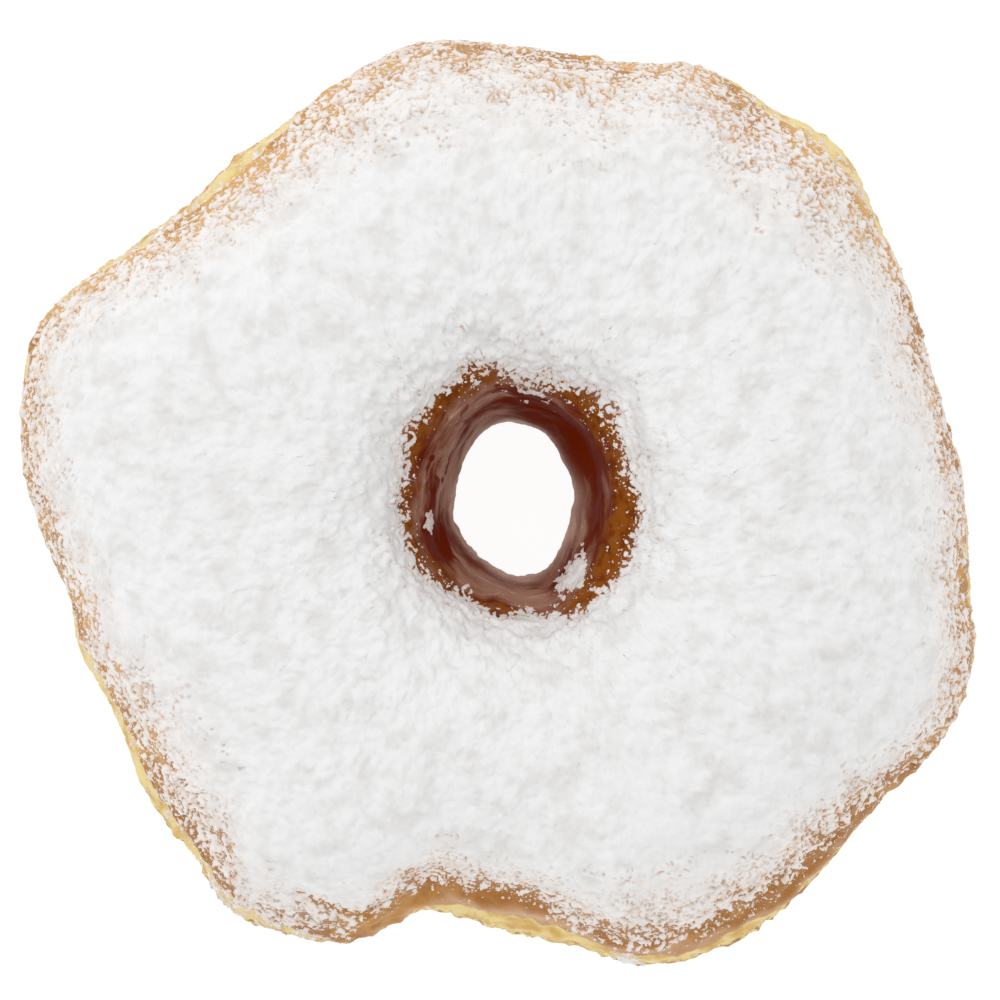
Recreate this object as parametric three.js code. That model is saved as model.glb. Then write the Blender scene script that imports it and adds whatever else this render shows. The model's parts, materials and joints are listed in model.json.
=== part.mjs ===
// A yeast-raised ring doughnut, stretched by hand before frying, so its rim runs into blunt corners.
// Millimetres, +Z up. It stands on its flattened underside, and the origin lies on the resting surface
// below the middle of the bounding box. The ring is first shaped about the axis of its hole.

import * as THREE from "three";
import { ParametricGeometry } from "three/addons/geometries/ParametricGeometry.js";
import { ImprovedNoise } from "three/addons/math/ImprovedNoise.js";
import { mergeVertices } from "three/addons/utils/BufferGeometryUtils.js";

// Driving heights of the cross-section.
const crownHeight = 33;
const waistHeight = 12.5;
const throatHeight = 15;

// The rim at its widest, the waist, as [bearing in degrees, reach from the hole's axis].
// A point stands where the outline turns: at a blunt corner, in a hollow or beside the fold.
const rimTurns = [
  [0, 43.2],
  [14, 42.2],
  [27, 42.6],
  [40, 44.7],
  [48, 46.4],
  [57, 45.2],
  [68, 45.5],
  [76, 43.6],
  [90, 43.5],
  [103, 45.3],
  [111, 44.5],
  [122, 42.8],
  [131, 43.1],
  [139, 43.2],
  [150, 45.8],
  [161, 49.9],
  [173, 48.6],
  [182, 46.6],
  [192, 44.6],
  [198, 45],
  [206, 44.5],
  [213, 45.2],
  [219, 46.5],
  [229, 47.4],
  [235, 49.3],
  [243, 47.7],
  [249, 46.2],
  [252.5, 44],
  [255.5, 41.8],
  [260, 41.2],
  [267, 42],
  [277, 43.9],
  [287, 47.3],
  [304, 47.6],
  [312, 46.7],
  [319, 46.3],
  [330, 47.2],
  [341, 47.2],
  [349, 45],
];

// The throat, the narrowest ring of the hole, in the same way: a long, uneven egg.
const throatTurns = [
  [0, 5.3],
  [40, 5.6],
  [70, 6.6],
  [102, 7.35],
  [135, 6.6],
  [167, 5.95],
  [200, 6.4],
  [235, 6.65],
  [282, 7.55],
  [315, 6],
  [345, 5.15],
];

// How far the crust of the top stands back from the waist, the share of the height where it is fully
// back, and where it is pulled in further.
const shoulderInset = 1.3;
const shoulderFullShare = 0.5;
const shoulderPulls = [
  { bearing: 134, spread: 10, depth: 1.1 },
  { bearing: 221, spread: 12, depth: 0.9 },
  { bearing: 266, spread: 16, depth: 3.0 },
  { bearing: 306, spread: 16, depth: 1.8 },
];

// Dips and swellings of the crown round the ring.
const crownSwells = [
  { bearing: 20, spread: 40, rise: 0.8 },
  { bearing: 165, spread: 35, rise: 1.0 },
  { bearing: 262, spread: 25, rise: -1.2 },
  { bearing: 325, spread: 30, rise: 0.6 },
];

// One corner folded under the crown as it rose: it droops from a crease at start, a share of the way
// from crown to waist, and is down by drop at end.
const foldedCorner = { bearing: 242, spread: 9, start: 0.72, end: 0.84, drop: 5 };

// Share of the way from throat to waist at which the crown is highest.
const crownShare = 0.47;

// The flat ring that it rests on, measured in from the waist and out from the throat.
const baseSetIn = 15;
const baseSetOut = 10;

// Roundness of the section at the rim and under the hole: 2 is an ellipse and larger is squarer.
const roundness = { rimTop: 2.35, rimBottom: 2.0, holeBottom: 2.0 };

// From throat to crown the hole has a steep wall that rounds over into a lip. A larger lip makes the wall
// steeper and turns over sooner, and crowding packs the steps towards the throat.
const holeWall = { lip: 3.2, crowding: 1.5 };

// Low lumps in the crust: height, spacing, the height above the base and the reach beyond the throat where
// they are full, and the share and spacing of the smaller lumps on them.
const lumpHeight = 0.75;
const lumpSpacing = 13;
const lumpFullHeight = 9;
const lumpFullReach = 7;
const smallLumpShare = 0.4;
const smallLumpSpacing = 5.6;

// Steps round the ring, and steps along each stretch of the section.
const ringSteps = 136;
const sectionSteps = { holeTop: 12, rimTop: 13, rimBottom: 7, base: 3, holeBottom: 5 };

const crustColour = 0xc98f4a;
const crustRoughness = 0.55;

const sectionTotal = Object.values(sectionSteps).reduce((sum, steps) => sum + steps, 0);
const noise = new ImprovedNoise();
const degrees = THREE.MathUtils.degToRad;
const mix = THREE.MathUtils.lerp;

// Signed difference between two bearings, from -180 to 180.
function bearingGap(bearing, other) {
  return THREE.MathUtils.euclideanModulo(bearing - other + 180, 360) - 180;
}

// 1 at a bearing and falling off smoothly on both sides of it.
function nearBearing(bearing, centre, spread) {
  const gap = bearingGap(bearing, centre) / spread;
  return Math.exp(-gap * gap);
}

// Reach at a bearing of the smooth closed curve through a list of turns.
function reachAt(turns, bearing) {
  const count = turns.length;
  let start = count - 1;
  while (start > 0 && turns[start][0] > bearing) start -= 1;
  const turn = (step) => {
    const index = start + step;
    const lap = Math.floor(index / count);
    const [at, reach] = turns[index - lap * count];
    return { at: at + 360 * lap, reach };
  };
  const [before, from, to, after] = [turn(-1), turn(0), turn(1), turn(2)];
  const span = to.at - from.at;
  const t = (bearing - from.at) / span;
  const slopeFrom = ((to.reach - before.reach) / (to.at - before.at)) * span;
  const slopeTo = ((after.reach - from.reach) / (after.at - from.at)) * span;
  const t2 = t * t;
  const t3 = t2 * t;
  return (
    (2 * t3 - 3 * t2 + 1) * from.reach +
    (t3 - 2 * t2 + t) * slopeFrom +
    (3 * t2 - 2 * t3) * to.reach +
    (t3 - t2) * slopeTo
  );
}

// Radius of the rim and of the throat at a bearing, about the hole's axis.
const rimReach = (bearing) => reachAt(rimTurns, bearing);
const throatReach = (bearing) => reachAt(throatTurns, bearing);

// Height of the crown at a bearing.
function crownAt(bearing) {
  const swell = ({ bearing: centre, spread, rise }) => rise * nearBearing(bearing, centre, spread);
  return crownSwells.reduce((height, s) => height + swell(s), crownHeight);
}

// How far the top crust stands back from the waist at a bearing.
function insetAt(bearing) {
  const pull = ({ bearing: centre, spread, depth }) => depth * nearBearing(bearing, centre, spread);
  return shoulderPulls.reduce((inset, p) => inset + pull(p), shoulderInset);
}

// How far the folded corner hangs below the plain crown, at a share out of the way from crown to waist.
function droopAt(bearing, out) {
  const { bearing: centre, spread, start, end, drop } = foldedCorner;
  return drop * nearBearing(bearing, centre, spread) * THREE.MathUtils.smoothstep(out, start, end);
}

// A quarter of a rounded square: [share of the way out, share of the way up] as t goes from 0 to 1.
function quarter(t, squareness) {
  const angle = (t * Math.PI) / 2;
  const power = 2 / squareness;
  return [Math.cos(angle) ** power, Math.sin(angle) ** power];
}

// The stretch of the section that u falls in, and the share t of the way along that stretch.
function stretchAt(u) {
  let place = u * sectionTotal;
  for (const [name, steps] of Object.entries(sectionSteps)) {
    if (place <= steps) return { name, t: place / steps };
    place -= steps;
  }
  return { name: "holeBottom", t: 1 };
}

// Radius and height of the plain section at a bearing, u from 0 to 1: from the throat up over the crown,
// down the rim to the waist, under to the flat base and back up the hole.
function sectionPoint(bearing, u) {
  const waist = rimReach(bearing);
  const throat = throatReach(bearing);
  const crownRadius = mix(throat, waist, crownShare);
  const crown = crownAt(bearing);
  const baseOuter = waist - baseSetIn;
  const baseInner = throat + baseSetOut;
  const { name, t } = stretchAt(u);
  if (name === "holeTop") {
    const share = t ** holeWall.crowding;
    const up = 1 - (1 - share) ** holeWall.lip;
    return [mix(throat, crownRadius, share), mix(throatHeight, crown, up)];
  }
  if (name === "rimTop") {
    const [out, up] = quarter(1 - t, roundness.rimTop);
    const standBack = insetAt(bearing) * THREE.MathUtils.smoothstep(up, 0, shoulderFullShare) * out;
    const top = mix(waistHeight, crown, up) - droopAt(bearing, out) * up;
    return [mix(crownRadius, waist, out) - standBack, top];
  }
  if (name === "rimBottom") {
    const [out, down] = quarter(t, roundness.rimBottom);
    return [mix(baseOuter, waist, out), waistHeight * (1 - down)];
  }
  if (name === "base") {
    return [mix(baseOuter, baseInner, t), 0];
  }
  const [out, down] = quarter(1 - t, roundness.holeBottom);
  return [mix(baseInner, throat, out), throatHeight * (1 - down)];
}

// How far the crust swells out at a point, in millimetres. The flat base stays flat and the throat keeps
// its outline: beyond is how far the point lies outside it.
function lumpAt(x, y, z, beyond) {
  const coarse = noise.noise(x / lumpSpacing, y / lumpSpacing, z / lumpSpacing);
  const small = noise.noise(x / smallLumpSpacing, y / smallLumpSpacing, z / smallLumpSpacing);
  const clearOfBase = THREE.MathUtils.smoothstep(z, 0, lumpFullHeight);
  const clearOfThroat = THREE.MathUtils.smoothstep(beyond, 0, lumpFullReach);
  return lumpHeight * clearOfBase * clearOfThroat * (coarse + smallLumpShare * small);
}

// The ring's surface: u runs along the section and v round the hole.
function ringSurface(u, v, target) {
  const bearing = (v % 1) * 360;
  const [radius, height] = sectionPoint(bearing, u % 1);
  const turn = degrees(bearing);
  const throat = throatReach(bearing);
  const lump = lumpAt(radius * Math.cos(turn), radius * Math.sin(turn), height, radius - throat);
  const middle = mix(throat, rimReach(bearing), crownShare);
  const outward = new THREE.Vector2(radius - middle, height - waistHeight).normalize();
  const lumpedRadius = radius + lump * outward.x;
  const lumpedHeight = Math.max(0, height + lump * outward.y);
  target.set(lumpedRadius * Math.cos(turn), lumpedRadius * Math.sin(turn), lumpedHeight);
}

// One closed solid, moved so that the middle of its underside is the origin.
function makeRing() {
  const open = new ParametricGeometry(ringSurface, sectionTotal, ringSteps);
  open.deleteAttribute("normal");
  open.deleteAttribute("uv");
  const closed = mergeVertices(open);
  closed.computeBoundingBox();
  const middle = closed.boundingBox.getCenter(new THREE.Vector3());
  closed.translate(-middle.x, -middle.y, -closed.boundingBox.min.z);
  closed.computeVertexNormals();
  const crust = new THREE.MeshStandardMaterial({
    color: crustColour,
    roughness: crustRoughness,
    metalness: 0,
  });
  const ring = new THREE.Mesh(closed, crust);
  ring.name = "doughnut_ring";
  return ring;
}

const doughnut = new THREE.Group();
doughnut.add(makeRing());

export default doughnut;
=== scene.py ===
import json
import math

import bmesh
import bpy
import numpy as np
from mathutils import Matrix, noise


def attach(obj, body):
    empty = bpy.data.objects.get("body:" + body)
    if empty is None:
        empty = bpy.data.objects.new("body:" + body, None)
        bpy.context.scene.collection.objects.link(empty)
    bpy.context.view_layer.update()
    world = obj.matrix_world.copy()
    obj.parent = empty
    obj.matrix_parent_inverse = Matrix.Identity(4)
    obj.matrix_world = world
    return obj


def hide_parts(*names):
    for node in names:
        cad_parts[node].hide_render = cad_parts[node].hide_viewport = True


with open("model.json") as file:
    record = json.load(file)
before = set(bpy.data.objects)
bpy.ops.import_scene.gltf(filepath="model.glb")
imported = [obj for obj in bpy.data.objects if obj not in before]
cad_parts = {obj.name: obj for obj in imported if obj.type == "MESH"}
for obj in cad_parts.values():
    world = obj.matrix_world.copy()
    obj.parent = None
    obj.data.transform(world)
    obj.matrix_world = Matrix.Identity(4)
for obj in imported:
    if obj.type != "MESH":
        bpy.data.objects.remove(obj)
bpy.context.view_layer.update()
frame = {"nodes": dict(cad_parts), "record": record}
mm = 0.001
ringNode = frame["nodes"]["doughnut_ring"]


# What a mesh holds, as arrays: points in millimetres, normals, and the three points of each triangle
def readVectors(items, field):
    flat = np.empty(len(items) * 3, np.float32)
    items.foreach_get(field, flat)
    return flat.reshape(-1, 3).astype(float)


def readPoints(mesh):
    return readVectors(mesh.vertices, "co") / mm


def readNormals(mesh):
    return readVectors(mesh.vertex_normals, "vector")


def readCorners(mesh):
    corners = np.empty(len(mesh.loops), np.int32)
    mesh.loops.foreach_get("vertex_index", corners)
    return corners.reshape(-1, 3)


def writePoints(mesh, points):
    mesh.vertices.foreach_set("co", (points * mm).astype(np.float32).ravel())
    mesh.update()


def paint(mesh, name, values):
    layer = mesh.attributes.new(name, "FLOAT", "POINT")
    layer.data.foreach_set("value", values.astype(np.float32))


def paintVector(mesh, name, vectors):
    layer = mesh.attributes.new(name, "FLOAT_VECTOR", "POINT")
    layer.data.foreach_set("vector", vectors.astype(np.float32).ravel())


# A smooth step from 0 at low to 1 at high, and a bell of height 1
def ramp(values, low, high):
    share = np.clip((values - low) / (high - low), 0, 1)
    return share * share * (3 - 2 * share)


def bell(values, centre, width):
    return np.exp(-(((values - centre) / width) ** 2))


# Soft fractal noise, about -1 to 1, and rounded clumps with creases between them, about 0 to 1. The values
# below name a noise by its spacing in millimetres, its octaves and a shift that keeps it unlike the others.
def cloudy(points, spacing, octaves, shift=0.0, roughness=0.6):
    falloff, finer = -math.log2(roughness), 2.0
    places = (points + shift) / spacing
    return np.array([noise.fractal(place, falloff, finer, octaves) for place in places.tolist()])


def clumpy(points, spacing, octaves, shift=0.0):
    creased = True
    places = (points + shift) / spacing
    return np.array([noise.turbulence(place, octaves, creased) for place in places.tolist()])


def addPiece(name, mesh, material):
    mesh.name = name
    piece = bpy.data.objects.new(name, mesh)
    bpy.context.scene.collection.objects.link(piece)
    mesh.materials.clear()
    mesh.materials.append(material)
    mesh.polygons.foreach_set("use_smooth", np.ones(len(mesh.polygons), bool))
    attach(piece, "root")
    return piece


# Shader nodes: inputs are values or the sockets that feed them
def addNode(tree, kind, inputs=None, **settings):
    node = tree.nodes.new(kind)
    for key, value in settings.items():
        setattr(node, key, value)
    for socket, value in (inputs or {}).items():
        if isinstance(value, bpy.types.NodeSocket):
            tree.links.new(value, node.inputs[socket])
        else:
            node.inputs[socket].default_value = value
    return node


def mixColour(tree, factor, first, second):
    inputs = {0: factor, 6: first, 7: second}  # 6 and 7 are the sockets for colours
    return addNode(tree, "ShaderNodeMix", inputs, data_type="RGBA").outputs[2]


def calculate(tree, operation, first, second=0.0, clamp=False):
    inputs = {0: first, 1: second}
    return addNode(tree, "ShaderNodeMath", inputs, operation=operation, use_clamp=clamp).outputs[0]


def rescale(tree, value, low, high, newLow=0.0, newHigh=1.0):
    inputs = {0: value, 1: low, 2: high, 3: newLow, 4: newHigh}
    kind = "SMOOTHSTEP"
    return addNode(tree, "ShaderNodeMapRange", inputs, interpolation_type=kind).outputs[0]


def readAttribute(tree, name, output="Fac"):
    return addNode(tree, "ShaderNodeAttribute", attribute_name=name).outputs[output]


def grainNoise(tree, spacing, detail):
    place = addNode(tree, "ShaderNodeTexCoord").outputs["Object"]
    inputs = {"Vector": place, "Scale": 1 / (spacing * mm), "Detail": detail}
    return addNode(tree, "ShaderNodeTexNoise", inputs).outputs[0]


# Noise drawn out round the hole's wall
def wallNoise(tree, length, width, detail, shift):
    inputs = {
        "Vector": readAttribute(tree, "wallPlace", "Vector"),
        "Location": (shift, shift, shift),
        "Scale": (1 / length, 1 / length, 1 / width),
    }
    stretched = addNode(tree, "ShaderNodeMapping", inputs).outputs[0]
    inputs = {"Vector": stretched, "Scale": 1.0, "Detail": detail}
    return addNode(tree, "ShaderNodeTexNoise", inputs).outputs[0]


def addBump(tree, shader, height, distance, strength):
    inputs = {"Height": height, "Distance": distance * mm, "Strength": strength}
    bump = addNode(tree, "ShaderNodeBump", inputs)
    tree.links.new(bump.outputs[0], shader.inputs["Normal"])


def startMaterial(name):
    material = bpy.data.materials.new(name)
    material.use_nodes = True
    return material, material.node_tree, material.node_tree.nodes["Principled BSDF"]


# The ring as the solid has it: the axis of its hole, and how far its rim and throat reach at each bearing
ring = {
    "throatHeight": 15.0, "throatSpan": 2.5, "throatMost": 10.0, "bearingStep": 1.5,
    "neighbours": 4, "leastGap": 0.05,
    "weldWithin": 0.01, "joinAngle": 60,
}
ringPoints = readPoints(ringNode.data)


def findHoleAxis():
    openingBox = np.array(frame["record"]["physics"]["openings"][0]["box_m"]) / mm
    about = openingBox.mean(0)[:2]
    level = np.abs(ringPoints[:, 2] - ring["throatHeight"]) < ring["throatSpan"]
    near = np.hypot(*(ringPoints[:, :2] - about).T) < ring["throatMost"]
    throat = ringPoints[level & near, :2]
    return (throat.min(0) + throat.max(0)) / 2


holeAxis = findHoleAxis()


def bearingOf(points):
    return np.degrees(np.arctan2(points[:, 1] - holeAxis[1], points[:, 0] - holeAxis[0])) % 360


def reachOf(points):
    return np.hypot(points[:, 0] - holeAxis[0], points[:, 1] - holeAxis[1])


def turnFrom(centre, bearings):
    return (bearings - centre + 180) % 360 - 180


def surveyReach(pick):
    bearings, reaches = bearingOf(ringPoints), reachOf(ringPoints)
    found = []
    for degree in range(360):
        near = np.abs(turnFrom(degree, bearings)) < ring["bearingStep"]
        found.append(pick(reaches[near]))
    return np.array(found)


rimReaches, throatReaches = surveyReach(np.max), surveyReach(np.min)


def atBearings(points, reaches):
    return np.interp(bearingOf(points), np.arange(360), reaches, period=360)


def rimGapOf(points):
    return atBearings(points, rimReaches) - reachOf(points)


def holeGapOf(points):
    return reachOf(points) - atBearings(points, throatReaches)


# The place on the hole's upper wall at a bearing and a reach from the axis
def wallPoint(bearing, reach):
    turn = math.radians(bearing)
    spot = holeAxis + reach * np.array([math.cos(turn), math.sin(turn)])
    upper = ringPoints[ringPoints[:, 2] > ring["throatHeight"]]
    gaps = np.hypot(*(upper[:, :2] - spot).T)
    nearest = np.argsort(gaps)[:ring["neighbours"]]
    height = np.average(upper[nearest, 2], weights=1 / (gaps[nearest] + ring["leastGap"]))
    return np.array([*spot, height])


# Sum of soft bumps round the ring, each (bearing, spread, amount)
def roundRing(bearings, bumps):
    total = np.zeros(len(bearings))
    for centre, spread, amount in bumps:
        total += amount * bell(turnFrom(centre, bearings), 0, spread)
    return total


# The solid's surface without its facets
def smoothRing(levels):
    bm = bmesh.new()
    bm.from_mesh(ringNode.data)
    bmesh.ops.remove_doubles(bm, verts=bm.verts, dist=ring["weldWithin"] * mm)
    most = math.radians(ring["joinAngle"])
    bmesh.ops.join_triangles(bm, faces=bm.faces, angle_face_threshold=most, angle_shape_threshold=most)
    coarse = bpy.data.meshes.new("coarse")
    bm.to_mesh(coarse)
    bm.free()
    shape = bpy.data.objects.new("coarse", coarse)
    bpy.context.scene.collection.objects.link(shape)
    soften = shape.modifiers.new("soften", "SUBSURF")
    soften.levels = soften.render_levels = levels
    depsgraph = bpy.context.evaluated_depsgraph_get()
    mesh = bpy.data.meshes.new_from_object(shape.evaluated_get(depsgraph))
    bpy.data.objects.remove(shape)
    return mesh


# Cuts in two the edges of a zone that are longer than wanted
def refineEdges(bm, inZone, longest, rounds):
    for _ in range(rounds):
        fine = inZone(np.array([v.co for v in bm.verts]) / mm)
        bm.verts.index_update()
        tooLong = []
        for edge in bm.edges:
            first, second = edge.verts
            if edge.calc_length() > longest * mm and fine[first.index] and fine[second.index]:
                tooLong.append(edge)
        if not tooLong:
            break
        bmesh.ops.subdivide_edges(bm, edges=tooLong, cuts=1, use_grid_fill=True)
        manySided = [face for face in bm.faces if len(face.verts) > 4]
        bmesh.ops.triangulate(bm, faces=manySided)


print("hole axis in mm:", holeAxis.round(2))
print("rim reaches in mm:", rimReaches.min().round(1), "to", rimReaches.max().round(1))

# The pale belt round the waist: heights of its edges in millimetres, and how they wander
belt = {
    "top": 16.0,
    "topBumps": [
        (88, 25, -4.0), (176, 16, -2.5), (136, 14, 3.2), (46, 13, 3.8), (5, 16, -0.6), (204, 8, 1.0),
        (220, 12, 2.4), (237, 7, 0.6), (252, 6, -3.4), (276, 9, 1.6), (294, 10, 0.8), (318, 16, -2.0),
    ],
    "topWander": 1.3, "topNoise": (5.0, 3), "topSoft": 1.3,
    "bottom": 7.5, "bottomBumps": [(305, 26, 5.4), (255, 8, 3.0)],
    "bottomWander": 0.8, "bottomNoise": (1.6, 3, 3.3), "bottomSoft": 0.8,
}


def beltTopOf(points):
    return belt["top"] + roundRing(bearingOf(points), belt["topBumps"])


def aboveBeltOf(points):
    return points[:, 2] - (beltTopOf(points) + belt["topWander"] * cloudy(points, *belt["topNoise"]))


# Where icing sugar lies, in millimetres: bare crust inside the rim and round the hole, with the width of
# its lacy edge, a bare crease behind the folded corner, spots of sugar that fell into the hole or caught on
# the belt, and the sugar's own patches and lace
sugarCover = {
    "rimBare": 0.4,
    "rimBareBumps": [
        (4, 12, -0.5), (30, 8, -0.5), (47, 11, 0.7), (75, 10, -0.5), (97, 14, -1.6), (128, 14, 1.6),
        (150, 10, 0.3), (180, 20, -0.4), (213, 13, 1.2), (226, 8, 0.9), (240, 8, -0.8), (256, 8, 3.4),
        (270, 7, 4.2), (286, 9, 2.2), (300, 10, 2.4), (315, 10, 1.2), (345, 14, 0.7),
    ],
    "rimFringe": 2.6,
    "rimFringeBumps": [
        (50, 14, 2.2), (92, 26, 2.9), (137, 12, 0.6), (222, 14, 0.8), (270, 8, -0.8), (288, 10, 0.8),
        (328, 12, -0.6), (0, 12, -0.3),
    ],
    "acrossSteps": (-1.0, 0.0, 0.5, 1.0, 2.0, 3.0),
    "coverSteps": (-1.5, -0.04, 0.16, 0.36, 1.05, 2.6),
    "holeBare": 5.1,
    "holeBareBumps": [
        (0, 20, 1.0), (15, 10, -0.7), (43, 17, 0.9), (76, 12, -0.9), (90, 10, -1.0), (106, 8, 0.5),
        (120, 12, 0.2), (142, 20, 0.7), (165, 12, -0.4), (195, 14, -0.3), (245, 16, -1.5), (275, 16, -1.5),
        (289, 8, -0.5), (330, 22, 0.9),
    ],
    "holeFringe": 1.5,
    "holeFringeBumps": [(15, 12, 0.9), (45, 14, 0.9), (78, 14, 1.2), (105, 10, 1.2), (160, 14, 0.6)],
    "holeSpots": [(309, 9.5, 2.3), (195, 8.2, 0.9)], "spotCover": 1.5,  # spots are (bearing, reach, size)
    "crease": {"bearing": 243, "spread": 8, "reach": 42.6, "width": 0.7, "bare": 0.8},
    "beltFade": 0.4, "beltFadeSteps": (-3.5, 0.5),
    "beltSpots": [
        (284, 2.0, 2.2), (262, 2.0, 1.0), (232, 3.0, 1.0), (135, 16, 0.7), (0, 20, 0.6), (318, 16, 0.3),
    ],
    "waistFade": 8.0, "waistSteps": (9.8, 12.4),
    "fallen": (1.0, 1.0, 0.55),
    "patches": 0.36, "patchNoise": (3.3, 3, 5.1),
    "lace": 1.5, "laceNoise": (0.85, 2), "laceMean": 0.34,
    "fineLace": 1.3, "fineNoise": (0.4, 1, 29.0), "fineMean": 0.23,
    "fineFromHole": (9.0, 13.0), "fineInHole": 0.65,
}


# Above 1 well inside the sugar, 0 where it is half gone, below 0 on bare crust
def coverOf(points):
    bearings = bearingOf(points)
    rimBare = sugarCover["rimBare"] + roundRing(bearings, sugarCover["rimBareBumps"])
    rimFringe = sugarCover["rimFringe"] + roundRing(bearings, sugarCover["rimFringeBumps"])
    across = (rimGapOf(points) - rimBare) / rimFringe
    fromRim = np.interp(across, sugarCover["acrossSteps"], sugarCover["coverSteps"])
    holeBare = sugarCover["holeBare"] + roundRing(bearings, sugarCover["holeBareBumps"])
    holeFringe = sugarCover["holeFringe"] + roundRing(bearings, sugarCover["holeFringeBumps"])
    fromHole = (holeGapOf(points) - holeBare) / holeFringe
    cover = np.minimum(fromRim, fromHole)
    for bearing, reach, size in sugarCover["holeSpots"]:
        gap = np.linalg.norm(points - wallPoint(bearing, reach), axis=1)
        cover = np.maximum(cover, sugarCover["spotCover"] * (1 - gap / size))
    crease = sugarCover["crease"]
    folded = roundRing(bearings, [(crease["bearing"], crease["spread"], crease["bare"])])
    cover -= folded * bell(reachOf(points), crease["reach"], crease["width"])
    onBelt = 1 - ramp(points[:, 2] - beltTopOf(points), *sugarCover["beltFadeSteps"])
    cover -= (sugarCover["beltFade"] - roundRing(bearings, sugarCover["beltSpots"])) * onBelt
    return cover - sugarCover["waistFade"] * (1 - ramp(points[:, 2], *sugarCover["waistSteps"]))


# The same with the sugar's own patches and lace: above 0 there is sugar. It fell from above, so its pattern
# is drawn out down the steep sides.
def presenceOf(points, cover):
    places = points * sugarCover["fallen"]
    patches = cloudy(places, *sugarCover["patchNoise"])
    lace = clumpy(places, *sugarCover["laceNoise"]) - sugarCover["laceMean"]
    fineLace = clumpy(places, *sugarCover["fineNoise"]) - sugarCover["fineMean"]
    awayFromHole = ramp(holeGapOf(points), *sugarCover["fineFromHole"])
    fineShare = sugarCover["fineInHole"] + (1 - sugarCover["fineInHole"]) * awayFromHole
    own = sugarCover["patches"] * patches + sugarCover["lace"] * lace
    return cover + own + sugarCover["fineLace"] * fineShare * fineLace


# Fried crust: the solid's form, refined where it shows, with the relief of its side and of the hole's wall,
# and what tells its colours apart. Steps are a start and an end, in millimetres of height or from the hole.
crust = {
    "softenLevels": 1,
    "holeEdge": 0.32, "holeZone": 8.0, "holeHeights": (6.0, 30.0), "holeRounds": 3,
    "sideEdge": 0.56, "sideZone": 9.0, "sideFoot": 4.0, "sideRounds": 3, "bareCover": 0.4,
    "restHeight": 2.0, "glossReach": 10.0, "outerSteps": (14.0, 18.0),
    "skinRelief": 0.13, "skinNoise": (2.2, 4),
    "lipHeight": 0.22, "lipRise": 0.8, "lipWidth": 0.9,
    "grooveDepth": 0.2, "grooveDrop": 0.5, "grooveWidth": 0.7,
    "rimRelief": 0.3, "rimNoise": (1.7, 2, 51.0), "rimFoot": (6.0, 10.0), "rimHead": (19.0, 25.0),
    "crumbRelief": 0.5, "crumbNoise": (1.1, 2), "crumbMean": 0.3,
    "crumbFoot": (4.0, 7.0), "crumbUnderBelt": (-3.0, -1.0), "crumbTop": (13.2, 15.2),
    "crumbBumps": [
        (265, 18, 0.8), (300, 22, 1.0), (340, 16, 0.7), (230, 16, 1.0), (40, 16, 0.4), (140, 16, 0.6),
    ],
    "wallReach": 8.0, "wallSlope": 0.6, "wallFade": (4.0, 7.0), "wallNoise": (1.0, 2),
    "wrinkleRelief": 0.16, "wrinkleLength": 5.0, "wrinkleWidth": 4.0,
    "pitDepth": 0.26, "pitLength": 1.6, "pitWidth": 0.7, "pitShift": 31.7, "pitSteps": (0.66, 0.91),
    "foldSteps": (12.0, 17.0),
    "wallFolds": [  # bearing, spread, gap from the throat, width and rise of each
        (35, 34, 2.0, 0.8, -0.7), (15, 60, 0.6, 0.4, 0.2), (-15, 35, 4.2, 0.8, 0.35),
        (150, 30, 1.8, 0.9, 0.25), (210, 16, 1.9, 0.7, -0.4), (255, 35, 3.2, 0.9, -0.3),
    ],
    "throatTall": 3.0, "throatRough": 0.3, "throatNoise": (1.3, 3, 77.0),
    "throatRoughBumps": [(215, 40, 1.0), (280, 20, 0.6)],
    "lipSteps": (7.0, 10.0), "wallSteps": (3.2, 4.8), "wallSooner": [(258, 32, 1.1)],
    "wallWander": 0.9, "wanderNoise": (2.0, 3),
    # Painted sheen on the hole's wall, standing for reflections of the bright surroundings: its base amount
    # and its bumps round the ring
    "sheenBase": 0.2, "sheenBumps": [(165, 50, 0.4), (265, 40, 0.45), (105, 25, 0.35), (330, 20, 0.1)],
    # Painted shade: stretches of the wall, at these bearings and this depth, where the painted sheen is taken
    # away
    "shadeDepth": 1.9, "shadeWidth": 0.9, "shadeBumps": [(35, 38, 0.8), (210, 14, 0.8)],
    # Painted dark pits: painted shade of small hollows, where the painted sheen gives way to the dark wall
    # colour
    "pitShadeBumps": [(150, 45, 1.0), (100, 15, 0.5)], "pitShadeSteps": (0.8, 1.6),
    # Pale throat: the paler crumb at its edge, made paler still as painted light from the glowing floor below
    "throatPaleAndLit": 0.5, "throatPaleAndLitBumps": [(345, 28, 0.7), (270, 30, 0.3)],
    # Browning round the ring, partly painted shade: browner towards the bottom of the view, paler towards the
    # top
    "browningAndShadeBumps": [(272, 30, 0.8), (318, 25, 0.45), (222, 20, 0.35), (135, 24, -0.5), (45, 22, -0.35)],
    # Painted highlight: a pale pinkish strip over the belt's upper edge that stands for a reflection on the
    # glossy shoulder
    "highlightBumps": [(272, 18, 1.0), (305, 14, 0.6), (50, 12, 0.3), (345, 16, 0.3)],
    "highlightRise": 0.9, "highlightWidth": 0.65,
    "underSteps": (5.0, 9.0),
    "dustCover": (-1.5, 1.2), "dustFoot": (10.0, 15.0), "dustFromHole": (3.0, 5.0),
}


def inHole(points):
    low, high = crust["holeHeights"]
    level = (points[:, 2] > low) & (points[:, 2] < high)
    return level & (holeGapOf(points) < crust["holeZone"])


def onSide(points):
    bare = coverOf(points) < crust["bareCover"]
    return bare & (points[:, 2] > crust["sideFoot"]) & (rimGapOf(points) < crust["sideZone"])


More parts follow.
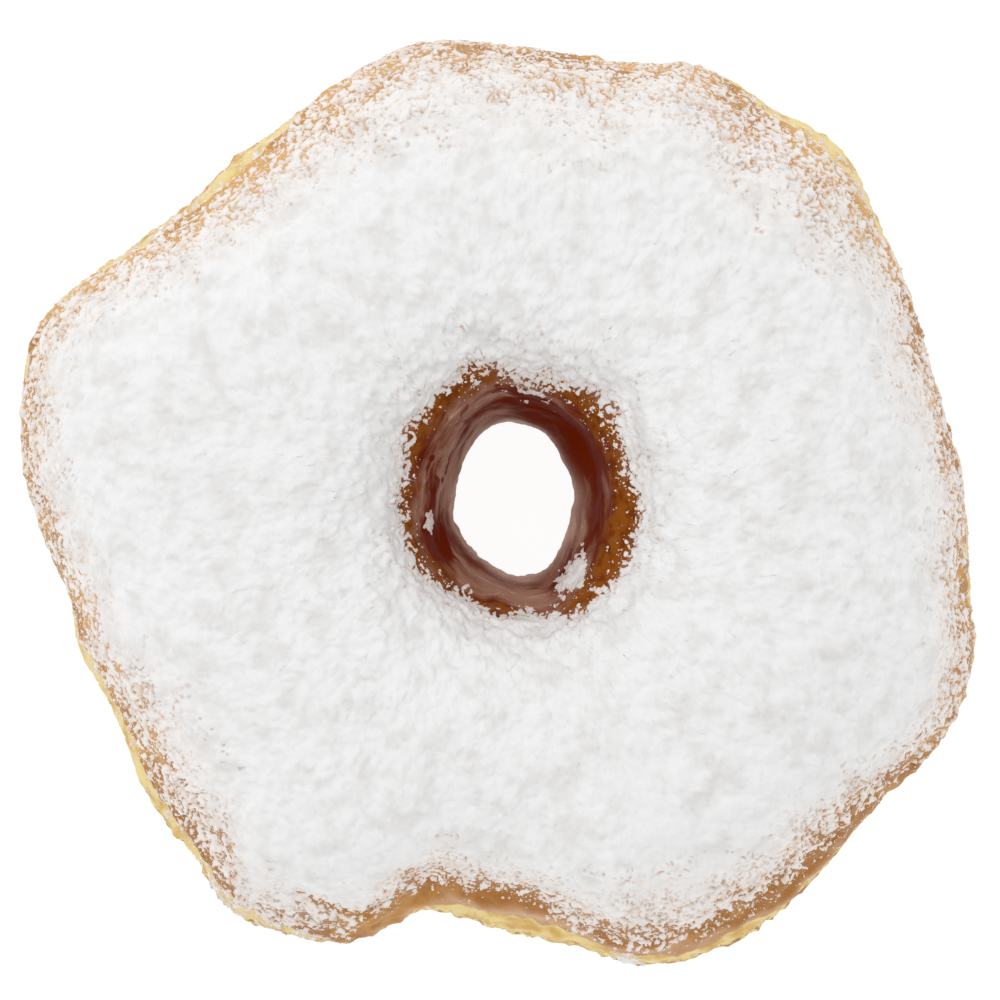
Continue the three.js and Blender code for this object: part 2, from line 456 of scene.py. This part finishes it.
# Places on the hole's wall, counted in lengths round it and in widths down its slope
def holeStretch(points, length, width):
    turn = np.radians(bearingOf(points))
    along = crust["wallReach"] / length
    down = (points[:, 2] - crust["wallSlope"] * reachOf(points)) / width
    return np.stack([along * np.cos(turn), along * np.sin(turn), down], axis=1)


# Lip and groove of the belt's upper edge, the knobbly rim, and crumbly stretches under the edge
def sideRelief(points):
    height = points[:, 2]
    aboveBelt = aboveBeltOf(points)
    relief = crust["lipHeight"] * bell(aboveBelt, crust["lipRise"], crust["lipWidth"])
    relief -= crust["grooveDepth"] * bell(aboveBelt, -crust["grooveDrop"], crust["grooveWidth"])
    knobbly = ramp(height, *crust["rimFoot"]) * (1 - ramp(height, *crust["rimHead"]))
    relief += crust["rimRelief"] * knobbly * cloudy(points, *crust["rimNoise"])
    crumbly = roundRing(bearingOf(points), crust["crumbBumps"]) * ramp(height, *crust["crumbFoot"])
    crumbly *= 1 - ramp(aboveBelt, *crust["crumbUnderBelt"])
    relief += crust["crumbRelief"] * crumbly * (clumpy(points, *crust["crumbNoise"]) - crust["crumbMean"])
    return relief * ramp(holeGapOf(points), *crust["outerSteps"])


# Wrinkles and pits of the hole's wall, the ragged edge of its throat, and its larger folds
def wallRelief(points):
    height, bearings, gaps = points[:, 2], bearingOf(points), holeGapOf(points)
    wrinkled = holeStretch(points, crust["wrinkleLength"], crust["wrinkleWidth"])
    relief = crust["wrinkleRelief"] * cloudy(wrinkled, *crust["wallNoise"])
    pitted = holeStretch(points + crust["pitShift"], crust["pitLength"], crust["pitWidth"])
    relief -= crust["pitDepth"] * ramp(cloudy(pitted, *crust["wallNoise"]), *crust["pitSteps"])
    ragged = crust["throatRough"] * cloudy(points, *crust["throatNoise"])
    ragged *= roundRing(bearings, crust["throatRoughBumps"])
    relief += ragged * bell(height, ring["throatHeight"], crust["throatTall"])
    relief *= 1 - ramp(gaps, *crust["wallFade"])
    upper = ramp(height, *crust["foldSteps"])
    for bearing, spread, gap, width, rise in crust["wallFolds"]:
        relief += roundRing(bearings, [(bearing, spread, rise)]) * bell(gaps, gap, width) * upper
    return relief


def crustRelief(points):
    relief = crust["skinRelief"] * cloudy(points, *crust["skinNoise"])
    relief += sideRelief(points) + wallRelief(points)
    return relief * ramp(points[:, 2], 0, crust["restHeight"])


def addRelief(mesh):
    points = readPoints(mesh)
    writePoints(mesh, points + readNormals(mesh) * crustRelief(points)[:, None])


# Painted shares of the side's colours: belt, a painted highlight strip over it, crumbs, browning that is
# partly painted shade (browner towards the bottom of the view), underside and dust
def paintSide(mesh, points):
    height, bearings, gaps = points[:, 2], bearingOf(points), holeGapOf(points)
    outer = ramp(gaps, *crust["outerSteps"])
    aboveBelt = aboveBeltOf(points)
    bottom = belt["bottom"] + roundRing(bearings, belt["bottomBumps"])
    aboveBottom = height - bottom - belt["bottomWander"] * cloudy(points, *belt["bottomNoise"])
    band = ramp(aboveBottom, -belt["bottomSoft"], belt["bottomSoft"])
    band *= 1 - ramp(aboveBelt, -belt["topSoft"], belt["topSoft"])
    paint(mesh, "band", band * outer)
    # Painted highlight strip just above the belt's upper edge, standing for a reflection
    highlightStrip = bell(aboveBelt, crust["highlightRise"], crust["highlightWidth"])
    paint(mesh, "paintedHighlight", highlightStrip * roundRing(bearings, crust["highlightBumps"]) * outer)
    crumbs = roundRing(bearings, crust["crumbBumps"]) * (1 - ramp(height, *crust["crumbTop"]))
    paint(mesh, "crumbs", crumbs)
    # Browning, partly painted shade: browner towards the bottom of the view
    paint(mesh, "browningAndShade", roundRing(bearings, crust["browningAndShadeBumps"]))
    paint(mesh, "under", 1 - ramp(height, *crust["underSteps"]))
    dusty = ramp(coverOf(points), *crust["dustCover"]) * ramp(height, *crust["dustFoot"])
    paint(mesh, "dust", dusty * ramp(gaps, *crust["dustFromHole"]))


# Painted shares of the hole's colours: lip, wall, painted sheen that stands for reflections with stretches of
# painted shade, painted dark pits and the pale throat, partly painted light
def paintHole(mesh, points):
    bearings, gaps = bearingOf(points), holeGapOf(points)
    inward = gaps + crust["wallWander"] * cloudy(points, *crust["wanderNoise"])
    paint(mesh, "lip", 1 - ramp(inward, *crust["lipSteps"]))
    wallEnd = inward + roundRing(bearings, crust["wallSooner"])
    paint(mesh, "wall", 1 - ramp(wallEnd, *crust["wallSteps"]))
    paintVector(mesh, "wallPlace", holeStretch(points, 1.0, 1.0))
    # Painted sheen: reflections of the surroundings painted into the wall's colour, less of it where painted
    # shade lies
    paintedSheen = crust["sheenBase"] + roundRing(bearings, crust["sheenBumps"])
    # Painted shade: a band down the wall with less painted sheen at the bearings where it lies in shade
    shade = bell(gaps, crust["shadeDepth"], crust["shadeWidth"])
    paint(mesh, "paintedSheen", paintedSheen - roundRing(bearings, crust["shadeBumps"]) * shade)
    paint(mesh, "pitted", roundRing(bearings, crust["pitShadeBumps"]) * ramp(gaps, *crust["pitShadeSteps"]))
    # Pale throat: paler crumb at the edge with painted light from below
    paleAndLit = crust["throatPaleAndLit"] + roundRing(bearings, crust["throatPaleAndLitBumps"])
    paint(mesh, "throat", bell(gaps, 0, paleAndLit))


# Colours and gloss of the crust. A grain is (spacing in millimetres, detail), and streaks along the hole's
# wall are (length, width, detail, shift).
crustFinish = {
    "golden": (0.74, 0.39, 0.085, 1), "browned": (0.42, 0.165, 0.022, 1),
    "toneGrain": (7.0, 4.0), "speckGrain": (1.1, 4.0), "speckShare": 0.5, "browningSteps": (0.55, 0.95),
    "under": (0.33, 0.12, 0.025, 1), "underPale": (0.5, 0.22, 0.055, 1),
    # Colour of the painted highlight strip over the belt
    "paintedHighlight": (0.72, 0.45, 0.27, 1),
    "straw": (0.9, 0.72, 0.31, 1), "strawDeep": (0.72, 0.43, 0.11, 1),
    "strawGrain": (2.4, 5.0), "strawSteps": (0.45, 0.68), "bandEdgeSteps": (0.5, 1.0),
    "crumb": (0.5, 0.22, 0.035, 1), "crumbGrain": (0.8, 3.0), "crumbSteps": (0.47, 0.56),
    "holeLip": (0.31, 0.09, 0.01, 1), "holeLipDeep": (0.2, 0.045, 0.005, 1), "lipSteps": (0.45, 0.65),
    # The wall's own dark colour, then the colour, streaks and steps of the painted sheen that stands for
    # reflections on it
    "holeWall": (0.17, 0.016, 0.0015, 1), "wallSheen": (0.44, 0.235, 0.16, 1),
    "streakMean": 0.5,
    "sheenStreaks": (5.5, 1.5, 5.0, 3.0), "sheenContrast": 3.2, "sheenSteps": (0.1, 0.9),
    # Painted glints: colour and streaks of thin bright lines that stand for reflections on the wall
    "wallGlint": (0.68, 0.52, 0.44, 1),
    "glintStreaks": (6.0, 1.1, 2.0, 9.0), "glintFine": 0.02, "glintMost": 0.55,
    # Painted dark pits, painted shade of small hollows: their streaks and steps
    "pitShadeStreaks": (1.5, 0.9, 1.0, 17.0), "pitSteps": (0.6, 0.66),
    # Pale throat colour, partly the paler crumb and partly painted light from below, and its least share
    # where the painted sheen is weak
    "throat": (0.75, 0.53, 0.42, 1), "throatLeast": 0.75,
    "dusting": (0.88, 0.86, 0.85, 1),
    "dustGrain": (0.3, 3.0), "dustSteps": (0.95, 1.7), "dustMost": 0.42,
    "roughness": 0.45, "dustRoughness": 0.9,
    "skinGrain": (0.7, 3.0), "skinHeight": 0.12, "skinStrength": 0.5, "wallSkin": 0.15, "dustHeight": 0.6,
    "outside": {"specular": 0.15, "coat": 0.08, "coatRoughness": 0.2},
    "inHole": {"specular": 0.02, "coat": 0.0, "coatRoughness": 0.2},
}


# Golden to browned skin, browner towards the bottom of the view partly as painted shade, darker underneath,
# with the painted highlight strip and the straw-coloured belt
def skinColour(tree, speck):
    look = crustFinish
    specks = calculate(tree, "MULTIPLY", speck, look["speckShare"])
    browningWithShade = calculate(tree, "ADD", grainNoise(tree, *look["toneGrain"]), specks)
    browningWithShade = rescale(tree, browningWithShade, *look["browningSteps"])
    # Adds the browning that is partly painted shade, browner towards the bottom of the view
    browningWithShade = calculate(tree, "ADD", browningWithShade, readAttribute(tree, "browningAndShade"), clamp=True)
    colour = mixColour(tree, browningWithShade, look["golden"], look["browned"])
    underTone = mixColour(tree, browningWithShade, look["underPale"], look["under"])
    colour = mixColour(tree, readAttribute(tree, "under"), colour, underTone)
    # Painted highlight strip over the belt
    colour = mixColour(tree, readAttribute(tree, "paintedHighlight"), colour, look["paintedHighlight"])
    mottle = rescale(tree, grainNoise(tree, *look["strawGrain"]), *look["strawSteps"])
    straw = mixColour(tree, mottle, look["straw"], look["strawDeep"])
    crumbs = rescale(tree, grainNoise(tree, *look["crumbGrain"]), *look["crumbSteps"])
    crumbs = calculate(tree, "MULTIPLY", crumbs, readAttribute(tree, "crumbs"), clamp=True)
    straw = mixColour(tree, crumbs, straw, look["crumb"])
    band = calculate(tree, "ADD", readAttribute(tree, "band"), specks)
    return mixColour(tree, rescale(tree, band, *look["bandEdgeSteps"]), colour, straw)


# The hole's dark wall under a drawn-out painted sheen that stands for reflections, with fine painted glints,
# painted dark pits and the pale throat, partly painted light from below
def wallColour(tree):
    look = crustFinish
    streaks = calculate(tree, "SUBTRACT", wallNoise(tree, *look["sheenStreaks"]), look["streakMean"])
    streaks = calculate(tree, "MULTIPLY", streaks, look["sheenContrast"])
    paintedSheen = calculate(tree, "ADD", readAttribute(tree, "paintedSheen"), streaks)
    paintedSheen = rescale(tree, paintedSheen, *look["sheenSteps"])
    colour = mixColour(tree, paintedSheen, look["holeWall"], look["wallSheen"])
    # Painted glints: thin lines of light colour where the streak noise crosses its middle, only where painted
    # sheen lies
    crossing = calculate(tree, "SUBTRACT", wallNoise(tree, *look["glintStreaks"]), look["streakMean"])
    crossing = calculate(tree, "ABSOLUTE", crossing)
    glint = rescale(tree, crossing, 0.0, look["glintFine"], look["glintMost"], 0.0)
    glint = calculate(tree, "MULTIPLY", glint, paintedSheen)
    colour = mixColour(tree, glint, colour, look["wallGlint"])
    # Painted dark pits: painted shade of small hollows, going back to the wall's dark colour
    pits = rescale(tree, wallNoise(tree, *look["pitShadeStreaks"]), *look["pitSteps"])
    pits = calculate(tree, "MULTIPLY", pits, readAttribute(tree, "pitted"))
    colour = mixColour(tree, pits, colour, look["holeWall"])
    # Pale throat, partly painted light, scaled down where the painted sheen is weak
    throat = rescale(tree, paintedSheen, 0.0, 1.0, look["throatLeast"], 1.0)
    throat = calculate(tree, "MULTIPLY", readAttribute(tree, "throat"), throat)
    return mixColour(tree, throat, colour, look["throat"])


def crustMaterial(name, gloss):
    look = crustFinish
    material, tree, shader = startMaterial(name)
    speck = grainNoise(tree, *look["speckGrain"])
    colour = skinColour(tree, speck)
    lipTone = rescale(tree, speck, *look["lipSteps"])
    lipTone = mixColour(tree, lipTone, look["holeLip"], look["holeLipDeep"])
    colour = mixColour(tree, readAttribute(tree, "lip"), colour, lipTone)
    wall = readAttribute(tree, "wall")
    colour = mixColour(tree, wall, colour, wallColour(tree))
    powder = grainNoise(tree, *look["dustGrain"])
    dusted = calculate(tree, "ADD", readAttribute(tree, "dust"), powder)
    dusted = rescale(tree, dusted, *look["dustSteps"], 0.0, look["dustMost"])
    colour = mixColour(tree, dusted, colour, look["dusting"])
    tree.links.new(colour, shader.inputs["Base Color"])
    rough = rescale(tree, dusted, 0.0, look["dustMost"], look["roughness"], look["dustRoughness"])
    tree.links.new(rough, shader.inputs["Roughness"])
    skin = rescale(tree, wall, 0.0, 1.0, 1.0, look["wallSkin"])
    skin = calculate(tree, "MULTIPLY", grainNoise(tree, *look["skinGrain"]), skin)
    raised = calculate(tree, "MULTIPLY", dusted, look["dustHeight"])
    height = calculate(tree, "ADD", skin, raised)
    addBump(tree, shader, height, look["skinHeight"], look["skinStrength"])
    shader.inputs["Specular IOR Level"].default_value = gloss["specular"]
    shader.inputs["Coat Weight"].default_value = gloss["coat"]
    shader.inputs["Coat Roughness"].default_value = gloss["coatRoughness"]
    return material


def makeCrust():
    mesh = smoothRing(crust["softenLevels"])
    bm = bmesh.new()
    bm.from_mesh(mesh)
    refineEdges(bm, inHole, crust["holeEdge"], crust["holeRounds"])
    refineEdges(bm, onSide, crust["sideEdge"], crust["sideRounds"])
    bmesh.ops.triangulate(bm, faces=bm.faces)
    bm.to_mesh(mesh)
    bm.free()
    points = readPoints(mesh)
    paintSide(mesh, points)
    paintHole(mesh, points)
    addRelief(mesh)
    piece = addPiece("crust", mesh, crustMaterial("friedCrust", crustFinish["outside"]))
    mesh.materials.append(crustMaterial("holeCrust", crustFinish["inHole"]))
    nearHole = holeGapOf(points)[readCorners(mesh)[:, 0]] < crust["glossReach"]
    mesh.polygons.foreach_set("material_index", nearHole.astype(np.int32))
    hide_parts("doughnut_ring")
    print("crust:", len(mesh.polygons), "triangles")
    return piece


# Icing sugar as one layer grown on the crust, in millimetres: its edge, its body with mounds and clumps, and
# the tints of thin sugar. It is cut in sectors because it is too heavy for one piece.
sugarCoat = {
    "leastCover": -1.4, "fringeCover": 1.0, "softenLevels": 3, "longestEdge": 0.2, "rounds": 1,
    "presenceSteps": (-0.4, 0.0, 0.35), "edgeSteps": (-0.28, 0.03, 0.12), "sunkMargin": 0.03,
    "bodyDepth": 0.42, "bodyCover": 1.5, "bodySteps": (-0.25, 0.5),
    "mounds": 0.3, "moundNoise": (4.5, 3, 9.2),
    "clumps": 0.35, "clumpNoise": (1.6, 3, 17.3),
    "crumbs": 0.15, "crumbNoise": (0.75, 1, 41.9),
    "reliefSteps": (0.05, 0.4), "leastShare": 0.35,
    "steepShare": 0.35, "flatSteps": (0.1, 0.7),
    "edgeTint": 0.8, "edgeTintSteps": (0.0, 0.4), "thinTint": 0.22, "thinTintSteps": (0.2, 1.8),
    "tintFromHole": (8.0, 14.0),
    "specks": 0.7, "speckNoise": (0.42, 2, 83.0), "speckSteps": (0.22, 0.75), "speckCover": (1.6, 2.6),
    "speckPatchNoise": (3.6, 3, 97.0), "speckPatchSteps": (-0.15, 0.45),
    "speckDip": 0.1, "speckLeast": 0.3,
    "blotchNoise": (3.0, 4, 63.0), "blotchRoughness": 0.7, "blotchSteps": (-0.3, 0.9),
    "turnedDown": 24.0, "sideFromHole": 15.0, "mapMargin": 0.01,
    "cuts": 8,
}
sugarFinish = {
    "white": (0.94, 0.94, 0.94, 1), "blotch": (0.85, 0.84, 0.83, 1),
    "thin": (0.86, 0.69, 0.57, 1), "speck": (0.56, 0.31, 0.16, 1),
    "roughness": 0.9, "specular": 0.15,
    "grain": (0.25, 2.0), "grainHeight": 0.06, "grainStrength": 0.5,
}


def sugarMaterial(name, patterned):
    look = sugarFinish
    material, tree, shader = startMaterial(name)
    shader.inputs["Base Color"].default_value = look["white"]
    shader.inputs["Roughness"].default_value = look["roughness"]
    shader.inputs["Specular IOR Level"].default_value = look["specular"]
    if patterned:
        colour = look["white"]
        for layer in ("blotch", "thin", "speck"):
            colour = mixColour(tree, readAttribute(tree, layer), colour, look[layer])
        tree.links.new(colour, shader.inputs["Base Color"])
        grain = grainNoise(tree, *look["grain"])
        addBump(tree, shader, grain, look["grainHeight"], look["grainStrength"])
    return material


def inFringe(points):
    return coverOf(points) < sugarCoat["fringeCover"]


# The sheet that the sugar grows from: the crust's surface, finer than the crust itself
def growSheet():
    mesh = smoothRing(sugarCoat["softenLevels"])
    wanted = coverOf(readPoints(mesh)) > sugarCoat["leastCover"]
    bm = bmesh.new()
    bm.from_mesh(mesh)
    bmesh.ops.delete(bm, geom=[v for v in bm.verts if not wanted[v.index]], context="VERTS")
    refineEdges(bm, inFringe, sugarCoat["longestEdge"], sugarCoat["rounds"])
    bmesh.ops.triangulate(bm, faces=bm.faces)
    bm.to_mesh(mesh)
    bm.free()
    addRelief(mesh)
    print("sugar sheet:", len(mesh.polygons), "triangles")
    return mesh


# Depth over the crust, below 0 where the sheet stays under the crust and doesn't show
def sugarDepth(points, normals, cover, presence):
    edge = np.interp(presence, sugarCoat["presenceSteps"], sugarCoat["edgeSteps"])
    body = sugarCoat["bodyDepth"] * np.clip(cover / sugarCoat["bodyCover"], 0, 1)
    level = edge + body * ramp(presence, *sugarCoat["bodySteps"])
    relief = sugarCoat["mounds"] * cloudy(points, *sugarCoat["moundNoise"])
    relief += sugarCoat["clumps"] * cloudy(points, *sugarCoat["clumpNoise"])
    relief += sugarCoat["crumbs"] * cloudy(points, *sugarCoat["crumbNoise"])
    least = np.minimum(level, sugarCoat["leastShare"] * level)
    above = np.maximum(level + relief * ramp(level, *sugarCoat["reliefSteps"]), least)
    flat = ramp(normals[:, 2], *sugarCoat["flatSteps"])
    share = sugarCoat["steepShare"] + (1 - sugarCoat["steepShare"]) * flat
    return np.where(above > 0, above * share, above)


# Specks where the crust shows through thin sugar, in patches beside the lacy edge
def sugarSpecks(points, cover):
    specks = ramp(cloudy(points, *sugarCoat["speckNoise"]), *sugarCoat["speckSteps"])
    patches = ramp(cloudy(points, *sugarCoat["speckPatchNoise"]), *sugarCoat["speckPatchSteps"])
    return specks * patches * (1 - ramp(cover, *sugarCoat["speckCover"]))


def paintSugar(mesh, points, presence, specks):
    edge = sugarCoat["edgeTint"] * (1 - ramp(presence, *sugarCoat["edgeTintSteps"]))
    veil = sugarCoat["thinTint"] * (1 - ramp(presence, *sugarCoat["thinTintSteps"]))
    paint(mesh, "thin", edge + veil * ramp(holeGapOf(points), *sugarCoat["tintFromHole"]))
    blotches = cloudy(points, *sugarCoat["blotchNoise"], sugarCoat["blotchRoughness"])
    paint(mesh, "blotch", ramp(blotches, *sugarCoat["blotchSteps"]))
    paint(mesh, "speck", sugarCoat["specks"] * specks)


# Map for baking, seen from above with the steep sides folded out
def foldOut(mesh, points):
    turn = np.radians(bearingOf(points))
    outer = holeGapOf(points) > sugarCoat["sideFromHole"]
    side = np.maximum(0, sugarCoat["turnedDown"] - points[:, 2]) * outer
    flat = np.stack([np.cos(turn), np.sin(turn)], axis=1) * (reachOf(points) + side)[:, None]
    low, high = flat.min(0), flat.max(0)
    margin = sugarCoat["mapMargin"]
    flat = margin + (1 - 2 * margin) * (flat - low) / (high - low).max()
    layer = mesh.uv_layers.new(name="OFBake")
    layer.data.foreach_set("uv", flat[readCorners(mesh)].astype(np.float32).ravel())


# The faces of a sheet that are kept, as a mesh of their own, and where its points are in the sheet
def cutOut(sheet, kept):
    bm = bmesh.new()
    bm.from_mesh(sheet)
    spare = [face for face in bm.faces if not kept[face.index]]
    bmesh.ops.delete(bm, geom=spare, context="FACES")
    part = bpy.data.meshes.new("sugarCoat")
    bm.to_mesh(part)
    bm.free()
    indexes = np.empty(len(part.vertices), np.int32)
    part.attributes["wholeIndex"].data.foreach_get("value", indexes)
    part.attributes.remove(part.attributes["wholeIndex"])
    return part, indexes


def makeSugarCoat():
    mesh = growSheet()
    base, normals = readPoints(mesh), readNormals(mesh)
    cover = coverOf(base)
    presence = presenceOf(base, cover)
    specks = sugarSpecks(base, cover)
    paintSugar(mesh, base, presence, specks)
    depth = sugarDepth(base, normals, cover, presence)
    dipped = np.maximum(depth - sugarCoat["speckDip"] * specks, sugarCoat["speckLeast"] * depth)
    depth = np.where(depth > 0, dipped, depth)
    writePoints(mesh, base + normals * depth[:, None])
    normals = readNormals(mesh)
    order = mesh.attributes.new("wholeIndex", "INT", "POINT")
    order.data.foreach_set("value", np.arange(len(base), dtype=np.int32))
    corners = readCorners(mesh)
    shown = (depth > sugarCoat["edgeSteps"][0] + sugarCoat["sunkMargin"])[corners].any(1)
    sectors = (bearingOf(base[corners[:, 0]]) * sugarCoat["cuts"] / 360).astype(int)
    material = sugarMaterial("icingSugar", True)
    for sector in range(sugarCoat["cuts"]):
        part, indexes = cutOut(mesh, ((sectors == sector) & shown).tolist())
        piece = addPiece("sugar_coat_" + str(sector + 1), part, material)
        foldOut(part, base[indexes])
        part.normals_split_custom_set_from_vertices(normals[indexes])  # so that no line shows where they meet
        print(piece.name, len(part.polygons), "triangles")


# Loose sugar: grains joined by the thousand, on bare crust beside the coat
sugarGrains = {
    "seed": 20, "shapes": 12, "unevenness": 0.16, "perSquareMm": 16, "sunk": 0.3, "cover": (-2.0, 2.0),
    "hole": {"presence": (-0.8, 0.0), "within": (3.6, 9.0), "most": 300, "radius": 0.05, "spread": 0.45},
    "rim": {"presence": (-0.6, 0.0), "within": (15.0, 60.0), "most": 5000, "radius": 0.055, "spread": 0.35},
}


# Random points spread evenly over the crust, with the normals there
def sampleCrust(mesh, perSquareMm, rng):
    mesh.calc_loop_triangles()
    corners = np.empty(len(mesh.loop_triangles) * 3, np.int32)
    mesh.loop_triangles.foreach_get("vertices", corners)
    triangles = readPoints(mesh)[corners.reshape(-1, 3)]
    first, second = triangles[:, 1] - triangles[:, 0], triangles[:, 2] - triangles[:, 0]
    across = np.cross(first, second)
    areas = np.linalg.norm(across, axis=1) / 2
    chosen = rng.choice(len(areas), int(areas.sum() * perSquareMm), p=areas / areas.sum())
    shares = rng.random((len(chosen), 2))
    over = shares.sum(1) > 1
    shares[over] = 1 - shares[over]
    points = triangles[chosen, 0] + first[chosen] * shares[:, :1] + second[chosen] * shares[:, 1:]
    return points, across[chosen] / (2 * areas[chosen])[:, None]


def makeGrainShapes(rng):
    bm = bmesh.new()
    bmesh.ops.create_icosphere(bm, subdivisions=1, radius=1.0)
    points = np.array([v.co for v in bm.verts])
    faces = np.array([[v.index for v in f.verts] for f in bm.faces])
    bm.free()
    uneven = 1 + sugarGrains["unevenness"] * rng.standard_normal((sugarGrains["shapes"], len(points), 3))
    return points * uneven, faces


def joinGrains(name, places, radii, rng, material):
    shapes, faces = makeGrainShapes(rng)
    shape = shapes[rng.integers(len(shapes), size=len(places))]
    points = places[:, None] + shape * radii[:, None, None]
    starts = np.arange(len(places))[:, None, None] * shapes.shape[1]
    mesh = bpy.data.meshes.new(name)
    mesh.from_pydata((points * mm).reshape(-1, 3).tolist(), [], (faces + starts).reshape(-1, 3).tolist())
    addPiece(name, mesh, material)
    print(name, len(places), "grains,", len(mesh.polygons), "triangles")


def isBetween(values, limits):
    return (values > limits[0]) & (values < limits[1])


def makeSugarGrains(crustPiece):
    rng = np.random.default_rng(sugarGrains["seed"])
    points, normals = sampleCrust(crustPiece.data, sugarGrains["perSquareMm"], rng)
    cover = coverOf(points)
    beside = isBetween(cover, sugarGrains["cover"])
    points, normals = points[beside], normals[beside]
    presence = presenceOf(points, cover[beside])
    material = sugarMaterial("looseSugar", False)
    gaps = holeGapOf(points)
    for name in ("hole", "rim"):
        group = sugarGrains[name]
        fits = isBetween(presence, group["presence"]) & isBetween(gaps, group["within"])
        picked = rng.permutation(np.flatnonzero(fits))[:group["most"]]
        radii = group["radius"] * np.exp(group["spread"] * rng.standard_normal(len(picked)))
        places = points[picked] + normals[picked] * (radii * (1 - sugarGrains["sunk"]))[:, None]
        print(name, "grains that would fit:", fits.sum())
        joinGrains("sugar_grains_" + name, places, radii, rng, material)


# Floor, soft light and a camera that looks straight down, their places in metres
stage = {
    "floorHalf": 1.5, "floorGlow": 0.94, "floorColour": (0.12, 0.12, 0.12, 1), "floorRoughness": 0.9,
    "white": (1, 1, 1, 1), "skyStrength": 0.8,
    "keyPlace": (-0.25, 0.35, 0.6), "keySize": 0.5, "keyPower": 0.9,
    "cameraHeight": 0.55, "cameraAside": (0.00015, 0.00034), "lens": 199.0, "sensor": 36.0, "nearest": 0.05,
}


def makeFloor():
    bm = bmesh.new()
    bmesh.ops.create_grid(bm, x_segments=1, y_segments=1, size=stage["floorHalf"])
    mesh = bpy.data.meshes.new("floor")
    bm.to_mesh(mesh)
    bm.free()
    floor = bpy.data.objects.new("floor", mesh)
    bpy.context.scene.collection.objects.link(floor)
    material, _, shader = startMaterial("paleFloor")
    shader.inputs["Base Color"].default_value = stage["floorColour"]
    shader.inputs["Roughness"].default_value = stage["floorRoughness"]
    shader.inputs["Emission Color"].default_value = stage["white"]
    shader.inputs["Emission Strength"].default_value = stage["floorGlow"]
    mesh.materials.append(material)


def makeLight():
    world = bpy.data.worlds.new("softSky")
    world.use_nodes = True
    sky = world.node_tree.nodes["Background"]
    sky.inputs["Color"].default_value = stage["white"]
    sky.inputs["Strength"].default_value = stage["skyStrength"]
    bpy.context.scene.world = world
    lamp = bpy.data.lights.new("keyLight", "AREA")
    lamp.size = stage["keySize"]
    lamp.energy = stage["keyPower"]
    key = bpy.data.objects.new("keyLight", lamp)
    key.location = stage["keyPlace"]
    key.rotation_euler = (-key.location).to_track_quat("-Z", "Y").to_euler()
    bpy.context.scene.collection.objects.link(key)


def makeCamera():
    view = bpy.data.cameras.new("camera")
    view.lens = stage["lens"]
    view.sensor_width = stage["sensor"]
    view.clip_start = stage["nearest"]
    camera = bpy.data.objects.new("camera", view)
    camera.location = (*stage["cameraAside"], stage["cameraHeight"])
    bpy.context.scene.collection.objects.link(camera)
    bpy.context.scene.camera = camera
    bpy.context.scene.view_settings.view_transform = "Standard"


makeFloor()
makeLight()
makeCamera()
print("floor, light and camera in place")
crustPiece = makeCrust()
makeSugarCoat()
makeSugarGrains(crustPiece)
